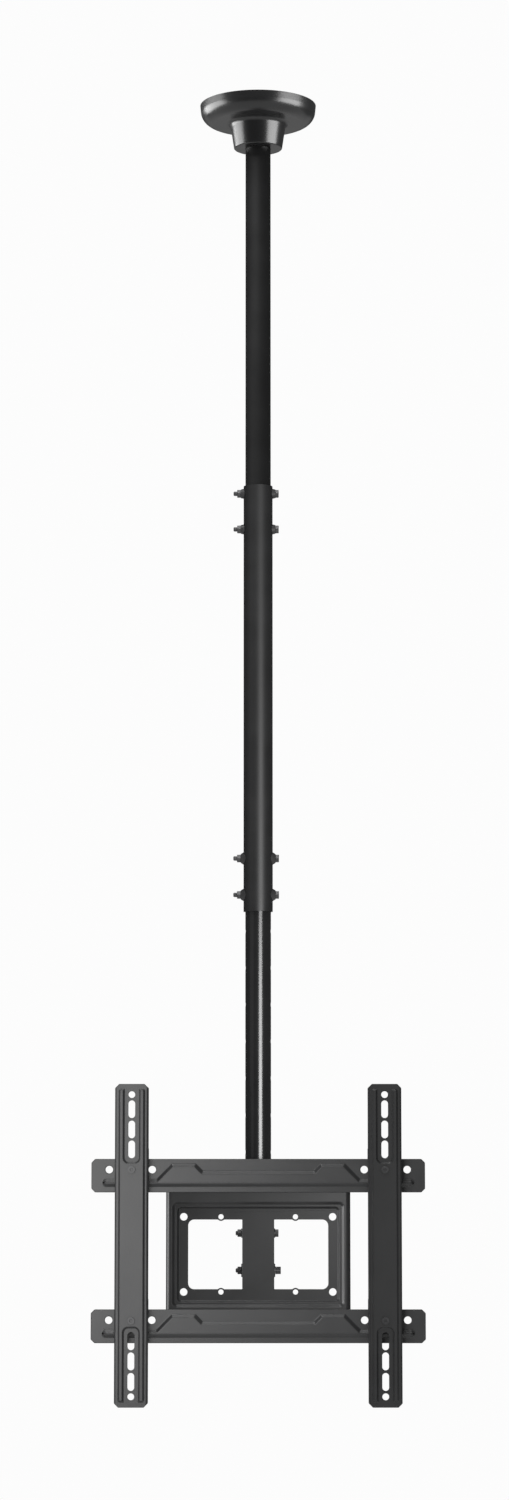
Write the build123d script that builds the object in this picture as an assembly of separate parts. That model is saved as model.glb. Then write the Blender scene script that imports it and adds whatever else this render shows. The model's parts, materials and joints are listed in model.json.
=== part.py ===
"""Ceiling mount for a flat screen: a canopy, a telescopic pole and a tilting head with two arms.

Millimetres. The origin is the middle of the ceiling face, +Z is up and the screen side faces -Y.
The pole hangs down the Z axis. Places in front of the pole axis are given as a distance towards -Y.
"""
import os
from math import atan, degrees, sqrt

from build123d import *

# Gaps between pieces
slide_gap = 0.5  # round a tube, in what it slides or turns in
bolt_gap = 0.5  # round a bolt's shank, in a drilled hole
thread_gap = 0.1  # round a thread, in its nut or tapped hole
saddle_gap = 0.1  # between a saddle washer and its tube
hook_gap = 0.5  # between an arm and a rail, front and back
tip_gap = 0.3  # between a screw's tip and what it clamps
ceiling_gap = 0.5  # between the canopy's rim and the ceiling

# Ceiling plate and swivel socket
plate_diameter = 146.0
plate_thickness = 4.0
ceiling_hole_diameter = 9.0
ceiling_hole_circle = 116.0
ceiling_hole_count = 4
socket_depth = 57.0  # ceiling to the socket's underside
socket_wall = 5.0
socket_lip = 6.0
socket_flange_thickness = 4.0
socket_flange_width = 17.0
slip_washer_thickness = 2.0
collar_width = 6.0
collar_height = 10.0
tube_above_collar = 15.0
socket_screw_diameter = 5.0
socket_screw_head_diameter = 9.0
socket_screw_head_height = 3.5
socket_screw_count = 4
set_screw_diameter = 6.0
set_screw_proud = 1.5
set_screw_count = 3

# Canopy cover, a thin moulding
cover_diameter = 162.0
cover_height = 62.0  # ceiling to the hub's underside
cover_wall = 2.5
rim_height = 26.0
rim_draft = 2.5  # how much further in the rim ends below than at the ceiling
rim_shoulder_radius = 18.0
hub_top_diameter = 78.0
hub_bottom_diameter = 67.0
hub_root_radius = 7.0
hub_edge_radius = 2.0

# Pole tubes
inner_tube_diameter = 35.0  # the upper and the lower tube
tube_wall = 2.0
middle_tube_drop = 542.0  # ceiling to the middle tube's top end
middle_tube_length = 590.0
upper_tube_insert = 150.0  # length of the upper tube inside the middle one
lower_tube_length = 601.0
bolt_spacing = 50.0  # between the two bolts of a joint, and the pitch of the row of height holes
upper_bolt_inset = 10.0  # middle tube's top end to the first bolt
lower_bolt_inset = 23.0  # middle tube's bottom end to the last bolt
height_hole_count = 9
height_hole_margin = 25.0  # lower tube's top end to its first height hole
pivot_from_end = 67.0  # lower tube's bottom end to the pivot bolt

# Bolts, nuts and washers
bolt_diameter = 6.0
hex_flats = 10.0
hex_face_diameter = 9.5  # flat left on a head or nut once its corners are turned off
bolt_head_height = 4.5
nut_height = 5.0
bolt_tip_length = 5.0  # thread left past the nut
bolt_tip_taper = 1.5
saddle_rise = 4.0  # tube wall to the nut's seat
saddle_seat_diameter = 12.0
upper_saddle_diameter = 14.5
lower_saddle_diameter = 21.0
pivot_washer_diameter = 12.5
clamp_washer_diameter = 18.0
washer_thickness = 1.5
lock_washer_diameter = 10.5
lock_washer_thickness = 1.6
cap_head_diameter = 10.0
cap_head_height = 6.0
cap_socket_flats = 5.0
cap_socket_depth = 3.0

# Tray, one pressed sheet with its cheeks folded back
head_sheet = 2.5
floor_offset = 40.0  # pole axis to the back of the tray's floor
tray_below_pivot = 27.5  # pivot bolt to the middle of the tray
tray_width = 247.5
tray_height = 191.0
tray_fold_depth = 12.0
floor_width = 213.0
floor_height = 122.0
floor_corner = 3.0
ledge_corner = 7.0
press_step = 4.0  # depth of each of the two steps from rim to floor
outer_step_run = 3.5
inner_step_run = 2.5
ledge_width = 3.0
window_height = 92.6
window_reach = 94.0  # middle of the tray to a window's outer edge
window_corner = 8.0
cheek_gap = 1.5  # lower tube to each cheek
cheek_relief = 2.8  # window's edge to a cheek's edge
cheek_behind_axis = 20.0
fold_radius = 2.5  # inside radius of the cheeks' folds
rim_fold_radius = 5.0  # inside radius of the tray's side folds
tilt_down = 15.0  # degrees
tilt_up = 5.0
slot_spare = 1.0  # degrees of slot beyond each end of the tilt
vesa_wide = 200.0
vesa_narrow = 100.0
vesa_wide_hole = 10.0
vesa_narrow_hole = 7.0
ear_width = 2.0  # metal kept round the narrow pattern's holes

# Rails, two equal pressed bars
rail_length = 448.0
rail_height = 44.7
rail_corner = 5.0  # chamfer on the rail's ends
rail_row_spacing = 200.0
rails_above_tray = 13.0  # middle of the tray to the middle of the two rows of holes
rail_row_depth = 14.3  # rail's top edge to its row of holes
rail_hole_diameter = 10.0
rail_hole_inset = 24.0  # rail's end to its outer hole
rail_inner_hole_inset = 81.7  # rail's end to its inner hole
rib_rise = 4.0
rib_run = 3.8
rib_inset = 15.0  # rail's end to the rib's end
rib_end_radius = 4.5
rib_bottom = 37.0  # these four are depths under the rail's top edge
rib_end_top = 27.0
rib_middle_top = 16.0
rib_bump_top = 6.5
rib_bump_spacing = 200.0
rib_bump_width = 32.0

# Arms, two equal pressed channels hooked over the rails
arm_width = 45.0
arm_length = 428.6
arm_sheet = 2.0
arm_corner = 5.5
arm_fold_radius = 1.0  # inside radius of the folds
arm_inset = 54.5  # rail's end to the middle of an arm
arm_flange_depth = 12.5
band_width = 35.0
band_rise = 2.5
band_run = 2.0
band_end = 7.0  # arm's end to the raised band's end
band_corner = 3.0
pocket_width = 19.5
pocket_reach = 104.5  # arm's end to a pocket's inner end
pocket_corner = 6.0
arm_hole_diameter = 9.0
arm_hole_spacing = 400.0
arm_slot_length = 23.5
arm_slot_spacings = (361.0, 307.0, 254.0)
arm_screw_diameter = 6.0
arm_screw_head_diameter = 10.0
arm_screw_head_height = 2.0
arm_screw_socket_flats = 4.0
arm_screw_socket_depth = 1.2
hook_rise = 14.0  # rail's top edge to the top of the hook's lobe
hook_drop = 10.0
hook_finger = 5.0

# Heights worked out from the sizes above
collar_bottom = slip_washer_thickness + socket_lip - socket_depth
collar_top = collar_bottom + collar_height
upper_tube_top = collar_top + tube_above_collar
middle_top = -middle_tube_drop
middle_bottom = middle_top - middle_tube_length
upper_tube_bottom = middle_top - upper_tube_insert
upper_bolt_heights = [middle_top - upper_bolt_inset - i * bolt_spacing for i in range(2)]
lower_bolt_heights = [middle_bottom + lower_bolt_inset + i * bolt_spacing for i in (1, 0)]
lower_tube_top = lower_bolt_heights[0] + height_hole_margin
lower_tube_bottom = lower_tube_top - lower_tube_length
height_holes = [lower_bolt_heights[0] - i * bolt_spacing for i in range(height_hole_count)]
pivot_height = lower_tube_bottom + pivot_from_end
clamp_height = pivot_height - bolt_spacing
tray_middle = pivot_height - tray_below_pivot
rail_middle = tray_middle + rails_above_tray
rail_rows = [rail_middle + side * rail_row_spacing / 2 for side in (1, -1)]

# Radii and distances worked out from the sizes above
inner_tube_radius = inner_tube_diameter / 2
middle_tube_radius = inner_tube_radius + slide_gap + tube_wall
tube_bore_radius = inner_tube_radius + slide_gap
collar_radius = inner_tube_radius + collar_width
socket_bore_radius = collar_radius + slide_gap
socket_radius = socket_bore_radius + socket_wall
drilled_radius = bolt_diameter / 2 + bolt_gap
tapped_radius = bolt_diameter / 2 + thread_gap
cheek_inside = inner_tube_radius + cheek_gap
cheek_outside = cheek_inside + head_sheet
floor_front = floor_offset + head_sheet
ledge_front = floor_front + press_step
rim_front = ledge_front + press_step
rail_front = rim_front + head_sheet
rib_front = rail_front + rib_rise
arm_back = rib_front + hook_gap
strip_front = arm_back + arm_flange_depth
band_front = strip_front + band_rise
rail_outer_holes = rail_length - 2 * rail_hole_inset
rail_inner_holes = rail_length - 2 * rail_inner_hole_inset
rib_length = rail_length - 2 * rib_inset
arm_spacing = rail_length - 2 * arm_inset


def facing_front(distance):
    """Plane in front of the pole axis whose normal points to the screen, with X right and Z up."""
    return Plane.XZ.offset(distance)


def facing_back(distance):
    """The same plane with its normal to the ceiling pole, for outlines that are alike left and right."""
    return Plane(origin=(0, -distance, 0), x_dir=(-1, 0, 0), z_dir=(0, 1, 0))


def side_plane(place):
    """Plane across the X axis, with Y and Z as its own axes."""
    return Plane.YZ.offset(place)


def press_forward(sheet, outline, front, thickness, rise, run):
    """Push an outline of a sheet towards the screen, with sloping walls."""
    slope = degrees(atan(run / rise))
    raised = extrude(facing_front(front) * outline, amount=rise, taper=slope)
    hollow = extrude(facing_front(front - thickness) * outline, amount=rise, taper=slope)
    return sheet + raised - hollow


def press_back(sheet, outline, front, thickness, depth, run):
    """Push an outline of a sheet towards the pole, with sloping walls."""
    slope = degrees(atan(run / depth))
    sunk = extrude(facing_back(front - thickness) * outline, amount=depth, taper=slope)
    hollow = extrude(facing_back(front) * outline, amount=depth, taper=slope)
    return sheet + sunk - hollow


def drill_front(outline):
    """Cutter along Y for an outline in X and Z, through everything in front of the pole axis."""
    return extrude(facing_front(0) * outline, amount=2 * band_front)


def turned(points, axis, radii=0.0):
    """Solid turned about an axis from a closed outline on one side of it, with rounded corners if asked."""
    if radii:
        edge = FilletPolyline(*points, radius=radii, close=True)
    else:
        edge = Polyline(*points, close=True)
    return revolve(make_face(edge), axis)


def ring(outer, inner, bottom, top):
    """Plain ring round the pole axis."""
    profile = [(inner, bottom), (outer, bottom), (outer, top), (inner, top)]
    return turned([(radius, 0, height) for radius, height in profile], Axis.Z)


def cross_drill(heights, radius, length):
    """Cutters along X through the pole, one at each height."""
    drill = Cylinder(radius, length, rotation=(0, 90, 0))
    return [Pos(0, 0, height) * drill for height in heights]


def channel(width, front, back, sheet, radius, height):
    """Folded channel along Z, open towards the pole, with its face between two rounded folds."""
    depth = front - back
    outside = Pos(0, -front) * Rectangle(width, depth, align=(Align.CENTER, Align.MIN))
    outside = fillet(outside.vertices().group_by(Axis.Y)[0], radius + sheet)
    inside = Pos(0, sheet - front) * Rectangle(width - 2 * sheet, depth, align=(Align.CENTER, Align.MIN))
    inside = fillet(inside.vertices().group_by(Axis.Y)[0], radius)
    return extrude(outside - inside, amount=height / 2, both=True)


def hexagon(flats):
    """Hexagon with one corner up."""
    return RegularPolygon(flats / 2, 6, major_radius=False)


def hex_block(seat, height, side):
    """Six-sided block out along X from a seat on the right or left, with its outer corners turned off."""
    corner = hex_flats / sqrt(3)
    face = hex_face_diameter / 2
    slope = (corner - face) / sqrt(3)
    outline = [(0, 0), (0, corner), (height - slope, corner), (height, face), (height, 0)]
    turning = turned([(side * (seat + along), radius) for along, radius in outline], Axis.X)
    prism = extrude(side_plane(side * seat) * hexagon(hex_flats), amount=side * height)
    return prism & turning


def bolt_shank(seat, tip):
    """Shank along X from the head's seat to a tapered tip."""
    radius = bolt_diameter / 2
    small = radius - bolt_tip_taper / 2
    points = [(seat, 0), (seat, radius), (tip + bolt_tip_taper, radius), (tip, small), (tip, 0)]
    return turned(points, Axis.X)


def hex_bolt(seat, tip):
    """Bolt along X, with a six-sided head past the seat on the right."""
    return hex_block(seat, bolt_head_height, 1) + bolt_shank(seat, tip)


def cap_bolt(seat, tip):
    """Bolt along X, with a round head and a six-sided socket in it."""
    head = extrude(side_plane(seat) * Circle(cap_head_diameter / 2), amount=cap_head_height)
    face = seat + cap_head_height - cap_socket_depth
    socket = extrude(side_plane(face) * hexagon(cap_socket_flats), amount=cap_socket_depth)
    return head + bolt_shank(seat, tip) - socket


def hex_nut(seat):
    """Nut on the left, from its seat outwards along -X."""
    bore = Cylinder(tapped_radius, 4 * seat, rotation=(0, 90, 0))
    return hex_block(seat, nut_height, -1) - bore


def flat_washer(diameter, seat, thickness):
    """Washer across X, with its inner face at the seat."""
    outline = Circle(diameter / 2) - Circle(drilled_radius)
    return extrude(side_plane(seat) * outline, amount=thickness)


def saddle_washer(diameter):
    """Cone-shaped washer on the right of the middle tube, hollowed to sit on it."""
    reach = diameter / 2
    foot = sqrt(middle_tube_radius**2 - reach**2)
    seat = middle_tube_radius + saddle_rise
    points = [(foot, 0), (foot, reach), (seat, saddle_seat_diameter / 2), (seat, 0)]
    body = turned(points, Axis.X)
    tube = Cylinder(middle_tube_radius + saddle_gap, 2 * diameter)
    hole = Cylinder(drilled_radius, 4 * seat, rotation=(0, 90, 0))
    return body - tube - hole


def at_heights(shape, heights):
    """Copies of a shape, one at each height, as one group of separate solids."""
    return Compound(children=[Pos(0, 0, height) * shape for height in heights])


def ceiling_plate():
    plate = ring(plate_diameter / 2, 0, -plate_thickness, 0)
    drill = Cylinder(ceiling_hole_diameter / 2, 4 * plate_thickness)
    tap = Cylinder(socket_screw_diameter / 2 + thread_gap, 4 * plate_thickness)
    plate -= PolarLocations(ceiling_hole_circle / 2, ceiling_hole_count, start_angle=45) * drill
    return plate - socket_screw_places() * tap


def socket_screw_places():
    """The ring of screws that hold the socket's flange to the plate."""
    circle = socket_radius + socket_flange_width / 2
    return PolarLocations(circle, socket_screw_count)


def set_screw_places():
    """Outward directions of the set screws, at the middle of the collar's height."""
    middle = collar_bottom + collar_height / 2
    turns = [90 + i * 360 / set_screw_count for i in range(set_screw_count)]
    return [Pos(0, 0, middle) * Rot(0, 0, turn) for turn in turns]


def swivel_socket():
    flange_top = -plate_thickness
    flange_bottom = flange_top - socket_flange_thickness
    flange_radius = socket_radius + socket_flange_width
    lip_top = socket_lip - socket_depth
    profile = [
        (tube_bore_radius, -socket_depth),
        (socket_radius, -socket_depth),
        (socket_radius, flange_bottom),
        (flange_radius, flange_bottom),
        (flange_radius, flange_top),
        (socket_bore_radius, flange_top),
        (socket_bore_radius, lip_top),
        (tube_bore_radius, lip_top),
    ]
    socket = turned([(radius, 0, height) for radius, height in profile], Axis.Z)
    clear = Cylinder(socket_screw_diameter / 2 + thread_gap, 4 * socket_depth)
    socket -= socket_screw_places() * clear
    tap = Cylinder(
        set_screw_diameter / 2 + thread_gap,
        2 * socket_radius,
        rotation=(0, 90, 0),
        align=(Align.CENTER, Align.CENTER, Align.MIN),
    )
    return socket - [place * tap for place in set_screw_places()]


def socket_screws():
    seat = -plate_thickness - socket_flange_thickness
    length = plate_thickness + socket_flange_thickness - ceiling_gap
    from_below = (Align.CENTER, Align.CENTER, Align.MIN)
    from_above = (Align.CENTER, Align.CENTER, Align.MAX)
    shank = Cylinder(socket_screw_diameter / 2, length, align=from_below)
    head = Cylinder(socket_screw_head_diameter / 2, socket_screw_head_height, align=from_above)
    screw = Pos(0, 0, seat) * (shank + head)
    return Compound(children=list(socket_screw_places() * screw))


def set_screws():
    start = collar_radius + tip_gap
    length = socket_radius + set_screw_proud - start
    grub = Cylinder(
        set_screw_diameter / 2,
        length,
        rotation=(0, 90, 0),
        align=(Align.CENTER, Align.CENTER, Align.MIN),
    )
    return Compound(children=[place * Pos(start, 0, 0) * grub for place in set_screw_places()])


def slip_washer():
    bottom = socket_lip - socket_depth
    return ring(collar_radius, tube_bore_radius, bottom, collar_bottom)


def canopy_cover():
    rim = cover_diameter / 2
    hub_top = hub_top_diameter / 2
    hub_bottom = hub_bottom_diameter / 2
    inner_edge = max(rim_shoulder_radius - cover_wall, hub_edge_radius / 2)
    corners = [
        (rim, -ceiling_gap, 0),
        (rim - rim_draft, -rim_height, rim_shoulder_radius),
        (hub_top, -rim_height, hub_root_radius),
        (hub_bottom, -cover_height, hub_edge_radius),
        (tube_bore_radius, -cover_height, 0),
        (tube_bore_radius, cover_wall - cover_height, 0),
        (hub_bottom - cover_wall, cover_wall - cover_height, hub_edge_radius / 2),
        (hub_top - cover_wall, cover_wall - rim_height, hub_root_radius),
        (rim - rim_draft - cover_wall, cover_wall - rim_height, inner_edge),
        (rim - cover_wall, -ceiling_gap, 0),
    ]
    points = [(radius, 0, height) for radius, height, _ in corners]
    return turned(points, Axis.Z, [corner for _, _, corner in corners])


def upper_tube():
    tube = ring(inner_tube_radius, inner_tube_radius - tube_wall, upper_tube_bottom, upper_tube_top)
    return tube - cross_drill(upper_bolt_heights, drilled_radius, inner_tube_diameter * 2)


def tube_collar():
    return ring(collar_radius, inner_tube_radius, collar_bottom, collar_top)


def middle_tube():
    tube = ring(middle_tube_radius, tube_bore_radius, middle_bottom, middle_top)
    heights = upper_bolt_heights + lower_bolt_heights
    return tube - cross_drill(heights, drilled_radius, middle_tube_radius * 4)


def lower_tube():
    tube = ring(inner_tube_radius, inner_tube_radius - tube_wall, lower_tube_bottom, lower_tube_top)
    heights = height_holes + [pivot_height, clamp_height]
    return tube - cross_drill(heights, drilled_radius, inner_tube_diameter * 2)


def joint_hardware(heights, saddle_diameter):
    """Bolts, nuts and saddle washers of one tube joint."""
    seat = middle_tube_radius + saddle_rise
    bolt = hex_bolt(seat, -seat - nut_height - bolt_tip_length)
    saddle = saddle_washer(saddle_diameter)
    opposite = Rot(0, 0, 180) * saddle
    saddles = [Pos(0, 0, height) * piece for height in heights for piece in (saddle, opposite)]
    return at_heights(bolt, heights), at_heights(hex_nut(seat), heights), Compound(children=saddles)


def pivot_hardware():
    """Bolt, nut and washers that the head tilts on."""
    seat = cheek_outside + washer_thickness
    bolt = hex_bolt(seat, -seat - nut_height - bolt_tip_length / 2)
    washer = flat_washer(pivot_washer_diameter, cheek_outside, washer_thickness)
    pair = Compound(children=[Pos(0, 0, pivot_height) * Rot(0, 0, turn) * washer for turn in (0, 180)])
    lift = Pos(0, 0, pivot_height)
    return lift * bolt, lift * hex_nut(seat), pair


def clamp_hardware():
    """Bolt, nut and washers that lock the tilt."""
    nut_seat = cheek_outside + washer_thickness
    bolt_seat = nut_seat + lock_washer_thickness
    bolt = cap_bolt(bolt_seat, -nut_seat - nut_height - bolt_tip_length / 2)
    washer = flat_washer(clamp_washer_diameter, cheek_outside, washer_thickness)
    lock = flat_washer(lock_washer_diameter, nut_seat, lock_washer_thickness)
    lift = Pos(0, 0, clamp_height)
    pair = Compound(children=[lift * Rot(0, 0, turn) * washer for turn in (0, 180)])
    return lift * bolt, lift * hex_nut(nut_seat), pair, lift * lock


def tray_windows():
    """The two openings left where the cheeks were folded back, with ears round the narrow holes."""
    width = window_reach - cheek_outside
    middle = (window_reach + cheek_outside) / 2
    opening = Rectangle(width, window_height)
    outer = opening.vertices().group_by(Axis.X)[-1]
    opening = Pos(middle, 0) * fillet(outer, window_corner)
    ear = Circle(vesa_narrow_hole / 2 + ear_width)
    for side in (1, -1):
        opening -= Pos(vesa_narrow / 2, side * vesa_narrow / 2) * ear
    return opening + mirror(opening, about=Plane.YZ)


def cheek_outline():
    """Side view of a cheek, in Y and Z about the pivot, with the pivot hole and the tilt slot."""
    front = -floor_offset - head_sheet
    height = window_height - 2 * cheek_relief
    depth = cheek_behind_axis - front
    cheek = Rectangle(depth, height)
    rear = cheek.vertices().group_by(Axis.X)[-1]
    cheek = Pos(front + depth / 2, -tray_below_pivot) * fillet(rear, window_corner)
    start = -90 - tilt_down - slot_spare
    sweep = tilt_down + tilt_up + 2 * slot_spare
    path = CenterArc((0, 0), bolt_spacing, start, sweep)
    return cheek - Circle(drilled_radius) - SlotArc(path, 2 * drilled_radius)


def cheeks():
    """The channel round the lower tube: two cheeks joined by the strip between the windows."""
    height = window_height - 2 * cheek_relief
    folded = channel(2 * cheek_outside, floor_front, -cheek_behind_axis, head_sheet, fold_radius, height)
    side = Plane.YZ.offset(-2 * cheek_outside) * Pos(0, pivot_height) * cheek_outline()
    return Pos(0, 0, tray_middle) * folded & extrude(side, amount=4 * cheek_outside)


def tray_sheet():
    """The pressed pan: a rim folded back at the sides and two steps down to the floor."""
    back = rim_front - tray_fold_depth
    rim = channel(tray_width, rim_front, back, head_sheet, rim_fold_radius, tray_height)
    ledge_run = inner_step_run + ledge_width + outer_step_run
    outer = RectangleRounded(
        floor_width + 2 * ledge_run,
        floor_height + 2 * ledge_run,
        ledge_corner,
    )
    inner_step = RectangleRounded(
        floor_width + 2 * inner_step_run,
        floor_height + 2 * inner_step_run,
        floor_corner + inner_step_run,
    )
    pan = press_back(rim, outer, rim_front, head_sheet, press_step, outer_step_run)
    return press_back(pan, inner_step, ledge_front, head_sheet, press_step, inner_step_run)


def tray():
    sheet = tray_sheet()
    wide = GridLocations(vesa_wide, vesa_narrow, 2, 2) * Circle(vesa_wide_hole / 2)
    narrow = GridLocations(vesa_narrow, vesa_narrow, 2, 2) * Circle(vesa_narrow_hole / 2)
    sheet -= drill_front(tray_windows())
    for outline in list(wide) + list(narrow):
        sheet -= drill_front(outline)
    return Pos(0, 0, tray_middle) * sheet + cheeks()


def rib_outline():
    """Front view of a rail's rib: a long bar with two bumps on its upper side."""
    half = rib_length / 2
    bump = rib_bump_spacing / 2
    outer = bump + rib_bump_width / 2
    inner = bump - rib_bump_width / 2
    right = [
        (inner - (rib_middle_top - rib_bump_top), -rib_middle_top),
        (inner, -rib_bump_top),
        (outer, -rib_bump_top),
        (outer + rib_end_top - rib_bump_top, -rib_end_top),
        (half, -rib_end_top),
        (half, -rib_bottom),
    ]
    left = [(-x, y) for x, y in reversed(right)]
    outline = make_face(Polyline(*right, *left, close=True))
    ends = [corner for corner in outline.vertices() if abs(abs(corner.X) - half) < slide_gap]
    return fillet(ends, rib_end_radius)


def rail(row_height):
    """One rail, with its row of holes at the given height."""
    top = row_height + rail_row_depth
    blank = chamfer(Rectangle(rail_length, rail_height).vertices(), rail_corner)
    blank = Pos(0, -rail_height / 2) * blank
    bar = extrude(facing_front(rim_front) * blank, amount=head_sheet)
    bar = press_forward(bar, rib_outline(), rail_front, head_sheet, rib_rise, rib_run)
    for spacing in (rail_outer_holes, rail_inner_holes):
        for side in (1, -1):
            bar -= drill_front(Pos(side * spacing / 2, -rail_row_depth) * Circle(rail_hole_diameter / 2))
    return Pos(0, 0, top) * bar


def arm_band():
    """Front view of an arm's raised band, forked round the flat pocket at each of its ends."""
    band = Rectangle(band_width, arm_length - 2 * band_end)
    band = fillet(band.vertices(), band_corner)
    pocket = Rectangle(pocket_width, 2 * pocket_reach)
    pocket = fillet(pocket.vertices(), pocket_corner)
    for side in (1, -1):
        band -= Pos(0, side * arm_length / 2) * pocket
    return band


def arm_flange():
    """Side view of an arm's flange in Y and Z about the arm's middle, with its two hooks."""
    flange = Pos(-strip_front, 0) * Rectangle(
        arm_flange_depth, arm_length, align=(Align.MIN, Align.CENTER)
    )
    notch_back = -rim_front + hook_gap
    notch_front = -rail_front - hook_gap
    lobe_back = notch_back + hook_finger
    for row in (rail_row_spacing / 2, -rail_row_spacing / 2):
        edge = row + rail_row_depth
        low = edge - hook_drop
        lobe = Pos(-arm_back - arm_sheet, low) * Rectangle(
            lobe_back + arm_back + arm_sheet, hook_drop + hook_rise, align=(Align.MIN, Align.MIN)
        )
        rear = lobe.vertices().group_by(Axis.X)[-1]
        lobe = fillet(rear, hook_finger / 2 - tip_gap)
        notch = Pos(notch_front, low - hook_drop) * Rectangle(
            notch_back - notch_front, 2 * hook_drop, align=(Align.MIN, Align.MIN)
        )
        flange = flange + lobe - notch
    return flange


def arm_holes():
    """All the holes and slots through an arm's face."""
    bored = Circle(arm_hole_diameter / 2)
    slot = SlotOverall(arm_slot_length, arm_hole_diameter, rotation=90)
    screw = Circle(arm_screw_diameter / 2 + thread_gap)
    cutters = []
    for side in (1, -1):
        cutters.append(Pos(0, side * arm_hole_spacing / 2) * bored)
        cutters.append(Pos(0, side * rail_row_spacing / 2) * screw)
        for spacing in arm_slot_spacings:
            cutters.append(Pos(0, side * spacing / 2) * slot)
    return cutters


def arm():
    """One arm about its own middle."""
    folded = channel(arm_width, strip_front, 0, arm_sheet, arm_fold_radius, arm_length)
    side = extrude(side_plane(-arm_width) * arm_flange(), amount=2 * arm_width)
    blank = chamfer(Rectangle(arm_width, arm_length).vertices(), arm_corner)
    folded = folded & side & drill_front(blank)
    folded = press_forward(folded, arm_band(), strip_front, arm_sheet, band_rise, band_run)
    for outline in arm_holes():
        folded -= drill_front(outline)
    return folded


def arm_screws():
    """The two lock screws of one arm, about the arm's middle."""
    start = rail_front + tip_gap
    shank = extrude(facing_front(start) * Circle(arm_screw_diameter / 2), amount=band_front - start)
    disc = Circle(arm_screw_head_diameter / 2)
    head = extrude(facing_front(band_front) * disc, amount=arm_screw_head_height)
    floor = band_front + arm_screw_head_height - arm_screw_socket_depth
    socket = extrude(facing_front(floor) * hexagon(arm_screw_socket_flats), amount=arm_screw_socket_depth)
    return at_heights(shank + head - socket, (rail_row_spacing / 2, -rail_row_spacing / 2))


def all_pieces():
    """Every piece by name."""
    upper_bolts, upper_nuts, upper_saddles = joint_hardware(upper_bolt_heights, upper_saddle_diameter)
    lower_bolts, lower_nuts, lower_saddles = joint_hardware(lower_bolt_heights, lower_saddle_diameter)
    pivot_bolt, pivot_nut, pivot_washers = pivot_hardware()
    clamp_bolt, clamp_nut, clamp_washers, clamp_lock_washer = clamp_hardware()
    left = Pos(-arm_spacing / 2, 0, rail_middle)
    right = Pos(arm_spacing / 2, 0, rail_middle)
    one_arm = arm()
    one_pair = arm_screws()
    return {
        "ceiling_plate": ceiling_plate(),
        "swivel_socket": swivel_socket(),
        "socket_screws": socket_screws(),
        "set_screws": set_screws(),
        "slip_washer": slip_washer(),
        "canopy_cover": canopy_cover(),
        "upper_tube": upper_tube(),
        "tube_collar": tube_collar(),
        "middle_tube": middle_tube(),
        "upper_joint_bolts": upper_bolts,
        "upper_joint_nuts": upper_nuts,
        "upper_joint_saddles": upper_saddles,
        "lower_joint_bolts": lower_bolts,
        "lower_joint_nuts": lower_nuts,
        "lower_joint_saddles": lower_saddles,
        "lower_tube": lower_tube(),
        "pivot_bolt": pivot_bolt,
        "pivot_nut": pivot_nut,
        "pivot_washers": pivot_washers,
        "clamp_bolt": clamp_bolt,
        "clamp_nut": clamp_nut,
        "clamp_washers": clamp_washers,
        "clamp_lock_washer": clamp_lock_washer,
        "tray": tray(),
        "upper_rail": rail(rail_rows[0]),
        "lower_rail": rail(rail_rows[1]),
        "left_arm": left * one_arm,
        "right_arm": right * one_arm,
        "left_arm_screws": left * one_pair,
        "right_arm_screws": right * one_pair,
    }


def main():
    os.makedirs("parts", exist_ok=True)
    for name, piece in all_pieces().items():
        export_step(piece, os.path.join("parts", name + ".step"))


main()
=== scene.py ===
# %% [markdown]
# # A ceiling mount for a flat screen
# The mount hangs from a round canopy on a pole of three steel tubes, and carries a tilting head of
# pressed black steel. The CAD frame already holds every piece at its real place and size. This lesson
# dresses that frame: camera, light, finishes, and the fine shapes that a drawing leaves out.

# %% Load the frame
import json
from math import cos, pi, radians, sin

import bmesh
import bpy
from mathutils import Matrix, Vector

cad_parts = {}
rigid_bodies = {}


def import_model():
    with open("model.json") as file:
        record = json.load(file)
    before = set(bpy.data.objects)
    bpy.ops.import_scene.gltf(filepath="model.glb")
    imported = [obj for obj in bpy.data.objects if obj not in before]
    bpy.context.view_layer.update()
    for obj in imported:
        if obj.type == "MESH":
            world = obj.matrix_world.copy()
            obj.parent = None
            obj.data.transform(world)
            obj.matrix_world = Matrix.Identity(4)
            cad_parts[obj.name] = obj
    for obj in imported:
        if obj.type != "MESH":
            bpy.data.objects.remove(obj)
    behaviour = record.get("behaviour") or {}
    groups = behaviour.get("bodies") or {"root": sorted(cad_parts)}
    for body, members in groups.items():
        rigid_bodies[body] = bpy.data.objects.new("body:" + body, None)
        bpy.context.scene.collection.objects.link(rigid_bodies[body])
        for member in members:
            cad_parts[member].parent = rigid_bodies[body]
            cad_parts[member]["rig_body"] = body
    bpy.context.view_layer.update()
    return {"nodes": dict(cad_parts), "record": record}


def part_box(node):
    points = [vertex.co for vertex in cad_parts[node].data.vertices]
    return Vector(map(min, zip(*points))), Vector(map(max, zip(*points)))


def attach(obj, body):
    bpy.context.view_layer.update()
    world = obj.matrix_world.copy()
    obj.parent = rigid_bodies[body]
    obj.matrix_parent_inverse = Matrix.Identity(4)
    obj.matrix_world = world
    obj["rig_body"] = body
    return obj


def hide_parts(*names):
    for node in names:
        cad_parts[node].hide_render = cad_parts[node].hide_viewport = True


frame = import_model()

# %% [markdown]
# ## The camera
# The photograph was taken from about five metres with a long lens, level with the head and tilted up a
# little, so the tubes stay parallel and the canopy shows its underside. A shorter lens from nearer by
# would make the canopy look too small against the head, so the distance came first and the lens after.

# %% Camera
CAMERA_PLACE = (-0.005, -5.0, -1.479)
CAMERA_TILT_UP = 6.5
CAMERA_LENS = 87.84
CAMERA_LONG_SIDE = 36.0

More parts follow.
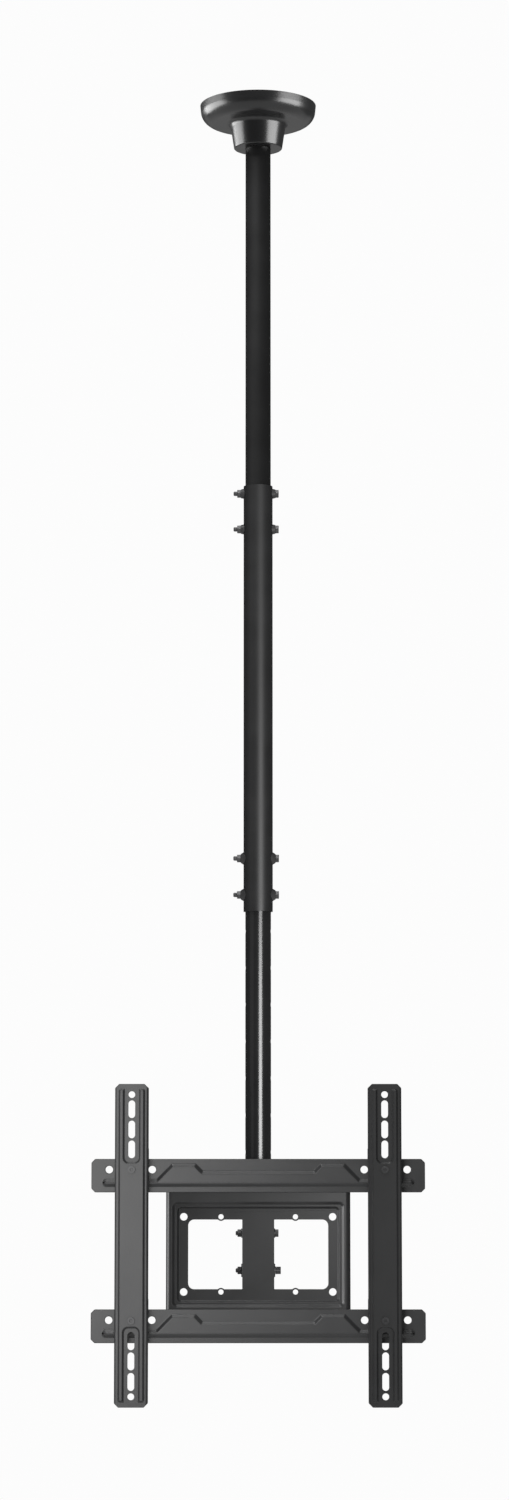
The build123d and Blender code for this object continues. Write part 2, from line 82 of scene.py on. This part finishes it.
camera_data = bpy.data.cameras.new("photo_camera")
camera_data.lens = CAMERA_LENS
camera_data.sensor_width = CAMERA_LONG_SIDE
camera = bpy.data.objects.new("photo_camera", camera_data)
camera.location = CAMERA_PLACE
camera.rotation_euler = (radians(90 + CAMERA_TILT_UP), 0, 0)
bpy.context.collection.objects.link(camera)
bpy.context.scene.camera = camera
bpy.context.scene.view_settings.view_transform = "Standard"
print("camera", tuple(camera.location), "lens", camera_data.lens)

# %% [markdown]
# ## Air and floor
# The photograph has a white ground with no edge. A white world seen by camera and mirror rays gives that
# ground. As a light the same world is a plain grey, so that the lamps can still shape the black paint. A
# pale floor lies well below the head, out of the camera's view. It takes the soft shadow that other
# views see, and sends a little light up under the canopy.

# %% Air and floor
GROUND_WHITE = (0.975, 0.975, 0.975, 1)
FILL_GREY = (0.72, 0.72, 0.725, 1)
FLOOR_PALE = (0.8, 0.8, 0.795, 1)
PAPER_ROUGHNESS = 0.9
FLOOR_HEIGHT = -2.4
FLOOR_RADIUS = 4.4
DISC_STEPS = 96


def seen_directly(tree):
    """Value of 1 for camera, mirror and glass rays, and 0 for the rays that carry light."""
    path = tree.nodes.new("ShaderNodeLightPath")
    first = tree.nodes.new("ShaderNodeMath")
    first.operation = "MAXIMUM"
    second = tree.nodes.new("ShaderNodeMath")
    second.operation = "MAXIMUM"
    tree.links.new(path.outputs["Is Camera Ray"], first.inputs[0])
    tree.links.new(path.outputs["Is Glossy Ray"], first.inputs[1])
    tree.links.new(first.outputs[0], second.inputs[0])
    tree.links.new(path.outputs["Is Transmission Ray"], second.inputs[1])
    return second.outputs[0]


def studio_air():
    """World that is white to look at and a plain grey as a light."""
    world = bpy.data.worlds.new("studio_air")
    world.use_nodes = True
    tree = world.node_tree
    tree.nodes.clear()
    out = tree.nodes.new("ShaderNodeOutputWorld")
    mix = tree.nodes.new("ShaderNodeMixShader")
    fill = tree.nodes.new("ShaderNodeBackground")
    fill.inputs["Color"].default_value = FILL_GREY
    ground = tree.nodes.new("ShaderNodeBackground")
    ground.inputs["Color"].default_value = GROUND_WHITE
    tree.links.new(seen_directly(tree), mix.inputs["Fac"])
    tree.links.new(fill.outputs[0], mix.inputs[1])
    tree.links.new(ground.outputs[0], mix.inputs[2])
    tree.links.new(mix.outputs[0], out.inputs["Surface"])
    return world


def ring_points(radius, height, steps):
    """Points of a level circle round the pole."""
    turns = [2 * pi * step / steps for step in range(steps)]
    return [(radius * cos(turn), radius * sin(turn), height) for turn in turns]


def stage_mesh(name, points, faces, material):
    """Mesh object that belongs to the studio and not to the mount."""
    mesh = bpy.data.meshes.new(name)
    mesh.from_pydata(points, [], faces)
    mesh.materials.append(material)
    thing = bpy.data.objects.new(name, mesh)
    bpy.context.collection.objects.link(thing)
    return thing


floor_paper = bpy.data.materials.new("floor_paper")
floor_paper.use_nodes = True
paper_shader = floor_paper.node_tree.nodes["Principled BSDF"]
paper_shader.inputs["Base Color"].default_value = FLOOR_PALE
paper_shader.inputs["Roughness"].default_value = PAPER_ROUGHNESS
paper_shader.inputs["Specular IOR Level"].default_value = 0.0

bpy.context.scene.world = studio_air()
floor_ring = ring_points(FLOOR_RADIUS, FLOOR_HEIGHT, DISC_STEPS)
stage_mesh("studio_floor", floor_ring, [list(range(DISC_STEPS))], floor_paper)
print("floor at", FLOOR_HEIGHT, "radius", FLOOR_RADIUS)

# %% [markdown]
# ## Black flags
# Gloss black paint shows its surroundings like a dark mirror. In a white room its edges would turn pale,
# yet the photograph keeps them black. A photographer gets that with black cloth hung all round the
# object. Here the cloth is a drum that stands on the floor and that only mirror rays can see, so it
# darkens reflections and leaves the white ground, the shadows and the lamps alone.

# %% Black flags
CLOTH_RADIUS = FLOOR_RADIUS
CLOTH_LIFT = 0.01
CLOTH_LOW = FLOOR_HEIGHT + CLOTH_LIFT
CLOTH_HIGH = 2.6
CLOTH_GLOW = 0.07


def black_cloth():
    """Cloth that gives back a little grey light."""
    material = bpy.data.materials.new("black_cloth")
    material.use_nodes = True
    tree = material.node_tree
    tree.nodes.clear()
    out = tree.nodes.new("ShaderNodeOutputMaterial")
    glow = tree.nodes.new("ShaderNodeEmission")
    glow.inputs["Color"].default_value = (CLOTH_GLOW, CLOTH_GLOW, CLOTH_GLOW, 1)
    tree.links.new(glow.outputs[0], out.inputs["Surface"])
    return material


low_ring = ring_points(CLOTH_RADIUS, CLOTH_LOW, DISC_STEPS)
high_ring = ring_points(CLOTH_RADIUS, CLOTH_HIGH, DISC_STEPS)
cloth_faces = []
for step in range(DISC_STEPS):
    after = (step + 1) % DISC_STEPS
    cloth_faces.append((step, after, after + DISC_STEPS, step + DISC_STEPS))
cloth_faces.append(list(range(DISC_STEPS, 2 * DISC_STEPS)))
cloth = stage_mesh("black_flags", low_ring + high_ring, cloth_faces, black_cloth())
cloth.visible_camera = False
cloth.visible_diffuse = False
cloth.visible_transmission = False
cloth.visible_shadow = False
print("flags", len(cloth_faces), "faces")

# %% [markdown]
# ## Soft panels
# Each bright shape on the mount is the picture of one lamp, and each lamp has one job. A wide panel right
# of the camera draws the line down the gloss tube and a broad sheen on the satin tube above it, and a
# large dim one on the left fills the shade side of the tubes. Two panels beside the canopy make the pairs
# of pale patches on its rim and its hub, and a dim one behind the pole lights its underside. At the head,
# a panel on the left throws the pressed walls into relief. One in front gives the rails and the left
# arm a sheen that fades to the right, and the right arm has a dimmer one of its own. The tray has a small
# panel in front for its floor, and a narrow bright one far to the left that rakes along its steps. One
# overhead lights everything. A single big lamp would be simpler, but its patches would run together.

# %% Soft panels


def soft_panel(name, place, aim, width, height, brightness):
    """Rectangular lamp of a given surface brightness, turned to an aim point."""
    data = bpy.data.lights.new(name, "AREA")
    data.shape = "RECTANGLE"
    data.size = width
    data.size_y = height
    data.energy = brightness * pi * width * height
    panel = bpy.data.objects.new(name, data)
    panel.location = place
    panel.rotation_euler = (Vector(aim) - Vector(place)).to_track_quat("-Z", "Y").to_euler()
    bpy.context.collection.objects.link(panel)
    return panel


def at_bearing(bearing, distance, height):
    """Point at a distance from the pole, with the bearing counted from the camera to the right."""
    turn = radians(bearing)
    return (distance * sin(turn), -distance * cos(turn), height)


tube_panel = soft_panel(
    "tube_panel", place=at_bearing(21, 3.0, -1.4), aim=(0, 0, -1.4),
    width=1.4, height=0.9, brightness=18.0,
)
tube_fill = soft_panel(
    "tube_fill", place=at_bearing(-60, 2.6, -0.6), aim=(0, 0, -0.6),
    width=1.8, height=2.4, brightness=0.24,
)
canopy_left = soft_panel(
    "canopy_left", place=at_bearing(-100, 1.1, -0.17), aim=(0, 0, -0.03),
    width=1.3, height=0.66, brightness=9.5,
)
canopy_right = soft_panel(
    "canopy_right", place=at_bearing(66, 1.1, -0.17), aim=(0, 0, -0.03),
    width=1.0, height=0.66, brightness=11.0,
)
canopy_under = soft_panel(
    "canopy_under", place=(0, 3.0, -1.0), aim=(0, 0, 0),
    width=4.0, height=1.2, brightness=0.36,
)
head_panel = soft_panel(
    "head_panel", place=(-1.2, -0.45, -1.25), aim=(0, 0, -1.6),
    width=0.6, height=1.0, brightness=1.5,
)
front_panel = soft_panel(
    "front_panel", place=(-0.45, -1.1, -1.45), aim=(-0.1, 0, -1.5),
    width=0.8, height=0.9, brightness=4.8,
)
right_panel = soft_panel(
    "right_panel", place=(0.35, -1.1, -1.45), aim=(0.17, 0, -1.58),
    width=0.4, height=0.9, brightness=1.0,
)
tray_panel = soft_panel(
    "tray_panel", place=(0.25, -0.9, -1.44), aim=(0.1, 0, -1.58),
    width=0.3, height=0.3, brightness=7.0,
)
tray_rake = soft_panel(
    "tray_rake", place=(-1.5, -0.28, -1.45), aim=(0, 0, -1.58),
    width=0.25, height=0.8, brightness=30.0,
)
top_panel = soft_panel(
    "top_panel", place=(-0.5, -0.9, 1.3), aim=(0, 0, -1.5),
    width=1.2, height=0.8, brightness=14.0,
)
panels = [
    tube_panel, tube_fill, canopy_left, canopy_right, canopy_under, head_panel, front_panel, right_panel,
    tray_panel, tray_rake, top_panel,
]
print("panels", [(panel.name, round(panel.data.energy, 1)) for panel in panels])

# %% [markdown]
# ## Finishes
# Every finish in view is black, so what tells them apart is gloss and grain. One helper builds a
# coat in three layers, all placed by object coordinates so that the pattern stays on the piece: a slow
# cloud between two tones, a gloss that wanders with the same cloud, and a fine grain as a bump. A single
# flat colour would look like plastic film, and a picture texture would show a seam on the tubes.

# %% A coat in three layers
CLOUD_LOW = 0.3
CLOUD_HIGH = 0.7
CLOUD_DETAIL = 4
GRAIN_DETAIL = 2


def coat(name, dark, light, smooth, rough, cloud_size, grain_size, grain_depth):
    """Procedural finish with a tone, a gloss and a grain that vary over the piece."""
    material = bpy.data.materials.new(name)
    material.use_nodes = True
    tree = material.node_tree
    shader = tree.nodes["Principled BSDF"]
    place = tree.nodes.new("ShaderNodeTexCoord")
    cloud = tree.nodes.new("ShaderNodeTexNoise")
    cloud.inputs["Scale"].default_value = 1 / cloud_size
    cloud.inputs["Detail"].default_value = CLOUD_DETAIL
    tone = tree.nodes.new("ShaderNodeValToRGB")
    tone.color_ramp.elements[0].position = CLOUD_LOW
    tone.color_ramp.elements[0].color = (*dark, 1)
    tone.color_ramp.elements[1].position = CLOUD_HIGH
    tone.color_ramp.elements[1].color = (*light, 1)
    gloss = tree.nodes.new("ShaderNodeMapRange")
    gloss.inputs["From Min"].default_value = CLOUD_LOW
    gloss.inputs["From Max"].default_value = CLOUD_HIGH
    gloss.inputs["To Min"].default_value = smooth
    gloss.inputs["To Max"].default_value = rough
    grain = tree.nodes.new("ShaderNodeTexNoise")
    grain.inputs["Scale"].default_value = 1 / grain_size
    grain.inputs["Detail"].default_value = GRAIN_DETAIL
    bump = tree.nodes.new("ShaderNodeBump")
    bump.inputs["Strength"].default_value = 1.0
    bump.inputs["Distance"].default_value = grain_depth
    tree.links.new(place.outputs["Object"], cloud.inputs["Vector"])
    tree.links.new(place.outputs["Object"], grain.inputs["Vector"])
    tree.links.new(cloud.outputs[0], tone.inputs["Fac"])
    tree.links.new(tone.outputs["Color"], shader.inputs["Base Color"])
    tree.links.new(cloud.outputs[0], gloss.inputs["Value"])
    tree.links.new(gloss.outputs["Result"], shader.inputs["Roughness"])
    tree.links.new(grain.outputs[0], bump.inputs["Height"])
    tree.links.new(bump.outputs["Normal"], shader.inputs["Normal"])
    return material


# %% [markdown]
# ### Powder coat on the head and the ceiling end
# The tray, rails and arms are pressed from sheet and powder coated, and so are the ceiling plate and its
# socket. Powder flows into a fine orange peel as it bakes, so the sheen is broad and the black lifts to a
# dark grey where a lamp faces it.

# %% Powder coat
powder_coat = coat(
    "powder_coat", dark=(0.016, 0.0162, 0.0166), light=(0.021, 0.0212, 0.0217),
    smooth=0.36, rough=0.42, cloud_size=0.05, grain_size=0.0011, grain_depth=0.00002,
)
print(powder_coat.name)

# %% [markdown]
# ### Satin and gloss paint on the tubes
# The two upper tubes have a satin paint with a wide, faint sheen. The lower tube slides inside the middle
# one and is smoother, so it mirrors the wide panel as a thin bright line.

# %% Tube paints
satin_paint = coat(
    "satin_tube_paint", dark=(0.01, 0.0101, 0.0104), light=(0.013, 0.0131, 0.0135),
    smooth=0.41, rough=0.45, cloud_size=0.04, grain_size=0.0016, grain_depth=0.000008,
)
gloss_paint = coat(
    "gloss_tube_paint", dark=(0.009, 0.0091, 0.0094), light=(0.012, 0.0121, 0.0125),
    smooth=0.19, rough=0.23, cloud_size=0.06, grain_size=0.003, grain_depth=0.0000001,
)
print(satin_paint.name, gloss_paint.name)

# %% [markdown]
# ### Moulded cover, fasteners, saddles and the nylon ring
# The canopy cover is a glossy moulding. Bolts, nuts and washers are blackened steel, which is a dull metal
# and not a paint. The saddles that fit the bolts to the round tube are plain black plastic, and the slip
# washer inside the ceiling end is white nylon.

# %% Other finishes
STEEL_SHARE = 0.3

cover_moulding = coat(
    "cover_moulding", dark=(0.007, 0.0071, 0.0073), light=(0.009, 0.0091, 0.0094),
    smooth=0.27, rough=0.31, cloud_size=0.05, grain_size=0.004, grain_depth=0.000001,
)
blackened_steel = coat(
    "blackened_steel", dark=(0.03, 0.03, 0.031), light=(0.055, 0.055, 0.056),
    smooth=0.34, rough=0.44, cloud_size=0.006, grain_size=0.0008, grain_depth=0.00001,
)
blackened_steel.node_tree.nodes["Principled BSDF"].inputs["Metallic"].default_value = STEEL_SHARE
saddle_plastic = coat(
    "saddle_plastic", dark=(0.015, 0.015, 0.0155), light=(0.022, 0.022, 0.0225),
    smooth=0.5, rough=0.62, cloud_size=0.008, grain_size=0.0009, grain_depth=0.00002,
)
white_nylon = coat(
    "white_nylon", dark=(0.7, 0.69, 0.67), light=(0.78, 0.775, 0.76),
    smooth=0.4, rough=0.5, cloud_size=0.01, grain_size=0.0012, grain_depth=0.00001,
)
print(cover_moulding.name, blackened_steel.name, saddle_plastic.name, white_nylon.name)

# %% [markdown]
# ## Painting the frame
# The record names a finish for each CAD node. One table turns those names into the finishes above. The
# two satin tubes and the collar share their slot with the head, so they are painted by name afterwards.

# %% Paint the nodes
FINISH_OF_SLOT = {
    "black_powder_coat": powder_coat,
    "gloss_black_paint": gloss_paint,
    "cover_moulding": cover_moulding,
    "black_fastener": blackened_steel,
    "black_saddle": saddle_plastic,
    "white_nylon": white_nylon,
}
SATIN_TUBES = ("upper_tube", "middle_tube", "tube_collar")

shown = dict(frame["nodes"])
finish_of = {}
for part in frame["record"]["subparts"]:
    finish_of[part["node"]] = FINISH_OF_SLOT[part["material_slot"]]
for tube in SATIN_TUBES:
    finish_of[tube] = satin_paint
for name, node in frame["nodes"].items():
    node.data.materials.clear()
    node.data.materials.append(finish_of[name])
print("painted", len(finish_of), "nodes")

# %% [markdown]
# ## Softened sheet edges
# A pressed sheet has no knife edges: the press rounds every bend, and the coat rounds every cut. A CAD
# solid has sharp ones, so each sheet piece is copied, its loose triangles are joined into clean faces,
# and a bevel rounds the edges, a little more on the ribbed rails than on the rest. Where two edges meet
# like the point of a needle a bevel throws spikes, so those edges get no weight and stay sharp. Weighted
# normals keep the wide flats flat. A shader trick could fake the round edge, but it would be lost when the
# model is exported.

# %% A softened copy of a node
JOIN_DISTANCE = 0.00001
FLAT_ANGLE = radians(1.0)
EDGE_ANGLE = radians(28)
ROUND_STEPS = 3
NEEDLE_ANGLE = radians(20)
FLAT_WEIGHT = 50


def is_sharp(edge):
    """True for an edge between two faces that meet at a clear angle."""
    return len(edge.link_faces) == 2 and edge.calc_face_angle() > EDGE_ANGLE


def rounds_well(edge):
    """True for a sharp edge that meets no other sharp edge like the point of a needle."""
    if not is_sharp(edge):
        return False
    for point in edge.verts:
        along = edge.other_vert(point).co - point.co
        for other in point.link_edges:
            if other != edge and is_sharp(other):
                if along.angle(other.other_vert(point).co - point.co) < NEEDLE_ANGLE:
                    return False
    return True


def joined_copy(name):
    """Mesh of a CAD node with joined triangles, clean flats, and a weight on each edge to be rounded."""
    mesh = frame["nodes"][name].data.copy()
    if "custom_normal" in mesh.attributes:
        mesh.attributes.remove(mesh.attributes["custom_normal"])
    shape = bmesh.new()
    shape.from_mesh(mesh)
    bmesh.ops.remove_doubles(shape, verts=shape.verts, dist=JOIN_DISTANCE)
    bmesh.ops.dissolve_limit(shape, angle_limit=FLAT_ANGLE, verts=shape.verts, edges=shape.edges)
    for face in shape.faces:
        face.smooth = True
    weight = shape.edges.layers.float.new("bevel_weight_edge")
    for edge in shape.edges:
        edge[weight] = 1.0 if rounds_well(edge) else 0.0
    shape.to_mesh(mesh)
    shape.free()
    return mesh


def plain_mesh(thing):
    """Turns an object with modifiers into a plain mesh object."""
    ready = thing.evaluated_get(bpy.context.evaluated_depsgraph_get())
    mesh = bpy.data.meshes.new_from_object(ready)
    thing.modifiers.clear()
    thing.data = mesh
    mesh.name = thing.name


def softened(name, edge_width):
    """Copy of a CAD node with rounded edges, which stands for that node."""
    piece = bpy.data.objects.new(name + "_soft", joined_copy(name))
    bpy.context.collection.objects.link(piece)
    bevel = piece.modifiers.new("round_edges", "BEVEL")
    bevel.width = edge_width
    bevel.segments = ROUND_STEPS
    bevel.limit_method = "WEIGHT"
    bevel.use_clamp_overlap = False
    flats = piece.modifiers.new("flat_faces", "WEIGHTED_NORMAL")
    flats.weight = FLAT_WEIGHT
    plain_mesh(piece)
    print(piece.name, len(piece.data.polygons), "faces")
    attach(piece, frame["nodes"][name]["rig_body"])
    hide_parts(name)
    shown[name] = piece


# %% Soften the head
SHEET_EDGE = 0.0006
RIB_EDGE = 0.001

for name in ("tray", "left_arm", "right_arm"):
    softened(name, SHEET_EDGE)
for name in ("upper_rail", "lower_rail"):
    softened(name, RIB_EDGE)

# %% [markdown]
# ## Softened fasteners
# Bolt heads, nuts and washers are forged or punched and the saddles are moulded, so their edges are
# broken by a fraction of a millimetre. At this size the round edge is what catches the light and makes a
# black nut readable.

# %% Soften the fasteners
FASTENER_EDGE = 0.00025
FASTENERS = (
    "upper_joint_bolts", "upper_joint_nuts", "lower_joint_bolts", "lower_joint_nuts", "pivot_bolt",
    "pivot_nut", "pivot_washers", "clamp_bolt", "clamp_nut", "clamp_washers", "left_arm_screws",
    "right_arm_screws", "upper_joint_saddles", "lower_joint_saddles",
)

for name in FASTENERS:
    softened(name, FASTENER_EDGE)

# %% [markdown]
# ## Threads on the bolt tips
# Where a bolt stands out past its nut its thread shows. A thread is a ridge that climbs round the shank,
# so it follows a rule, and Geometry Nodes fit it well: a spiral, a three-sided section drawn along it, and
# one copy for each tip. The tree takes the pitch, the turns and the radius as inputs, so that short
# and long tips share it.

# %% The thread tree
THREAD_PITCH = 0.001
THREAD_TURNS = 4.0
THREAD_ROOT = 0.0028
THREAD_RIDGE = 0.0004
TURN_STEPS = 20
RIDGE_SIDES = 3


def add_input(tree, name, kind, value):
    """Named input of a node group with a starting value."""
    socket = tree.interface.new_socket(name, in_out="INPUT", socket_type=kind)
    if value is not None:
        socket.default_value = value


def thread_tree():
    """Node group that winds a thread towards -X from each point of a mesh."""
    tree = bpy.data.node_groups.new("bolt_thread", "GeometryNodeTree")
    add_input(tree, "Tips", "NodeSocketGeometry", None)
    add_input(tree, "Turns", "NodeSocketFloat", THREAD_TURNS)
    add_input(tree, "Pitch", "NodeSocketFloat", THREAD_PITCH)
    add_input(tree, "Root Radius", "NodeSocketFloat", THREAD_ROOT)
    add_input(tree, "Ridge", "NodeSocketFloat", THREAD_RIDGE)
    add_input(tree, "Finish", "NodeSocketMaterial", None)
    tree.interface.new_socket("Threads", in_out="OUTPUT", socket_type="NodeSocketGeometry")
    given = tree.nodes.new("NodeGroupInput")
    result = tree.nodes.new("NodeGroupOutput")
    height = tree.nodes.new("ShaderNodeMath")
    height.operation = "MULTIPLY"
    spiral = tree.nodes.new("GeometryNodeCurveSpiral")
    spiral.inputs["Resolution"].default_value = TURN_STEPS
    upright = tree.nodes.new("GeometryNodeSetCurveNormal")
    upright.mode = "Z_UP"
    section = tree.nodes.new("GeometryNodeCurvePrimitiveCircle")
    section.inputs["Resolution"].default_value = RIDGE_SIDES
    drawn = tree.nodes.new("GeometryNodeCurveToMesh")
    drawn.inputs["Fill Caps"].default_value = True
    laid = tree.nodes.new("GeometryNodeTransform")
    laid.inputs["Rotation"].default_value = (0, radians(-90), 0)
    copies = tree.nodes.new("GeometryNodeInstanceOnPoints")
    real = tree.nodes.new("GeometryNodeRealizeInstances")
    painted = tree.nodes.new("GeometryNodeSetMaterial")
    link = tree.links.new
    link(given.outputs["Turns"], height.inputs[0])
    link(given.outputs["Pitch"], height.inputs[1])
    link(given.outputs["Turns"], spiral.inputs["Rotations"])
    link(given.outputs["Root Radius"], spiral.inputs["Start Radius"])
    link(given.outputs["Root Radius"], spiral.inputs["End Radius"])
    link(height.outputs[0], spiral.inputs["Height"])
    link(given.outputs["Ridge"], section.inputs["Radius"])
    link(spiral.outputs["Curve"], upright.inputs["Curve"])
    link(upright.outputs["Curve"], drawn.inputs["Curve"])
    link(section.outputs["Curve"], drawn.inputs["Profile Curve"])
    link(drawn.outputs["Mesh"], laid.inputs["Geometry"])
    link(given.outputs["Tips"], copies.inputs["Points"])
    link(laid.outputs["Geometry"], copies.inputs["Instance"])
    link(copies.outputs["Instances"], real.inputs["Geometry"])
    link(real.outputs["Geometry"], painted.inputs["Geometry"])
    link(given.outputs["Finish"], painted.inputs["Material"])
    link(painted.outputs["Geometry"], result.inputs["Threads"])
    return tree


bolt_thread = thread_tree()
print(bolt_thread.name, [item.name for item in bolt_thread.interface.items_tree])

# %% Wind the threads
TIP_POINT = 0.0008
BOLT_SPACING = 0.05


def middle_height(node):
    """Height of the middle of a node."""
    low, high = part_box(node)
    return (low.z + high.z) / 2


def pair_heights(node):
    """Heights of the two bolts of a tube joint, the upper one first."""
    middle = middle_height(node)
    return [middle + BOLT_SPACING / 2, middle - BOLT_SPACING / 2]


def wound(name, body, nut_nodes, bolt_nodes, heights):
    """Threads from the nuts' outer faces to just short of the bolts' ends, riding one body."""
    start = min(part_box(node)[0].x for node in nut_nodes)
    end = min(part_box(node)[0].x for node in bolt_nodes)
    tips = bpy.data.meshes.new(name)
    tips.from_pydata([(start, 0, height) for height in heights], [], [])
    threads = bpy.data.objects.new(name, tips)
    bpy.context.collection.objects.link(threads)
    modifier = threads.modifiers.new("wind", "NODES")
    modifier.node_group = bolt_thread
    turns = (start - end - TIP_POINT) / THREAD_PITCH
    values = {"Turns": turns, "Pitch": THREAD_PITCH, "Finish": blackened_steel}
    for item in bolt_thread.interface.items_tree:
        if item.name in values:
            modifier[item.identifier] = values[item.name]
    plain_mesh(threads)
    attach(threads, body)
    return threads


joint_threads = wound(
    "joint_threads", "pole", ("upper_joint_nuts", "lower_joint_nuts"),
    ("upper_joint_bolts", "lower_joint_bolts"),
    pair_heights("upper_joint_bolts") + pair_heights("lower_joint_bolts"),
)
tilt_threads = wound(
    "tilt_threads", "drop_tube", ("pivot_nut", "clamp_nut"), ("pivot_bolt", "clamp_bolt"),
    [middle_height("pivot_bolt"), middle_height("clamp_bolt")],
)
shown["joint_threads"] = joint_threads
shown["tilt_threads"] = tilt_threads
print("thread faces", len(joint_threads.data.polygons), len(tilt_threads.data.polygons))

# %% [markdown]
# ## The split lock washer
# Under the head of the clamp bolt sits a spring washer: a square ring, cut through and twisted so that
# its ends bite. The CAD ring is closed. A square section carried most of the way round, with a
# small climb, gives the cut ends and the twist.

# %% Lock washer
RING_STEPS = 60
RING_CORNERS = 4
RING_GAP = radians(9)
RING_CLIMB = 0.0003
RING_WALL = 0.0019


def split_ring(name, node):
    """Square ring with a cut, inside the box of the closed CAD ring and turned about X."""
    low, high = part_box(node)
    middle = (low + high) / 2
    outer = (high.z - low.z) / 2
    inner = outer - RING_WALL
    thick = high.x - low.x - RING_CLIMB
    points = []
    for step in range(RING_STEPS + 1):
        share = step / RING_STEPS
        turn = RING_GAP / 2 + (2 * pi - RING_GAP) * share
        left = low.x + RING_CLIMB * share
        for radius, x in ((inner, left), (outer, left), (outer, left + thick), (inner, left + thick)):
            points.append((x, middle.y + radius * cos(turn), middle.z + radius * sin(turn)))
    faces = []
    for step in range(RING_STEPS):
        near = RING_CORNERS * step
        far = near + RING_CORNERS
        for side in range(RING_CORNERS):
            turn_to = (side + 1) % RING_CORNERS
            faces.append((near + side, near + turn_to, far + turn_to, far + side))
    faces.append((3, 2, 1, 0))
    last = RING_CORNERS * RING_STEPS
    faces.append((last, last + 1, last + 2, last + 3))
    mesh = bpy.data.meshes.new(name)
    mesh.from_pydata(points, [], faces)
    shape = bmesh.new()
    shape.from_mesh(mesh)
    bmesh.ops.recalc_face_normals(shape, faces=shape.faces)
    shape.to_mesh(mesh)
    shape.free()
    mesh.materials.append(blackened_steel)
    ring = bpy.data.objects.new(name, mesh)
    bpy.context.collection.objects.link(ring)
    return ring


lock_ring = split_ring("split_lock_washer", "clamp_lock_washer")
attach(lock_ring, "drop_tube")
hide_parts("clamp_lock_washer")
shown["clamp_lock_washer"] = lock_ring
print(lock_ring.name, len(lock_ring.data.polygons), "faces")

# %% [markdown]
# ## Reach of the lamps
# In a studio, grids and flags keep each lamp to one part of the object, so that the canopy's lamps don't
# streak the tubes. Light linking does the same: a lamp gets a collection, and only what is in it is lit.
# The threads are listed with their bolts. For the lamp that rakes along the tray, the same collection also
# says what throws a shadow, because the left arm stands in its way. The overhead lamp has no collection
# and lights everything, the floor too.

# %% Reach of the lamps
HEAD = frame["record"]["behaviour"]["bodies"]["head"] + ["left_arm", "right_arm"]
TILT_BOLTS = frame["record"]["behaviour"]["bodies"]["drop_tube"][1:] + ["tilt_threads"]
ARM_SCREWS = ["left_arm_screws", "right_arm_screws"]
JOINTS = [name for name in shown if "joint" in name]


def reaches(panel, names):
    """Keeps a lamp to the pieces that stand for some nodes."""
    group = bpy.data.collections.new(panel.name + "_reach")
    for name in names:
        group.objects.link(shown[name])
    panel.light_linking.receiver_collection = group


reaches(tube_panel, ["middle_tube", "lower_tube"] + JOINTS + TILT_BOLTS)
reaches(tube_fill, ["upper_tube", "middle_tube", "lower_tube"] + JOINTS)
reaches(canopy_left, ["canopy_cover"])
reaches(canopy_right, ["canopy_cover"])
reaches(canopy_under, ["canopy_cover"])
reaches(head_panel, [name for name in HEAD if name != "tray"] + TILT_BOLTS + ARM_SCREWS)
reaches(front_panel, ["upper_rail", "lower_rail", "left_arm", "left_arm_screws"])
reaches(right_panel, ["right_arm", "right_arm_screws"])
reaches(tray_panel, ["tray"])
reaches(tray_rake, ["tray"])
tray_rake.light_linking.blocker_collection = tray_rake.light_linking.receiver_collection
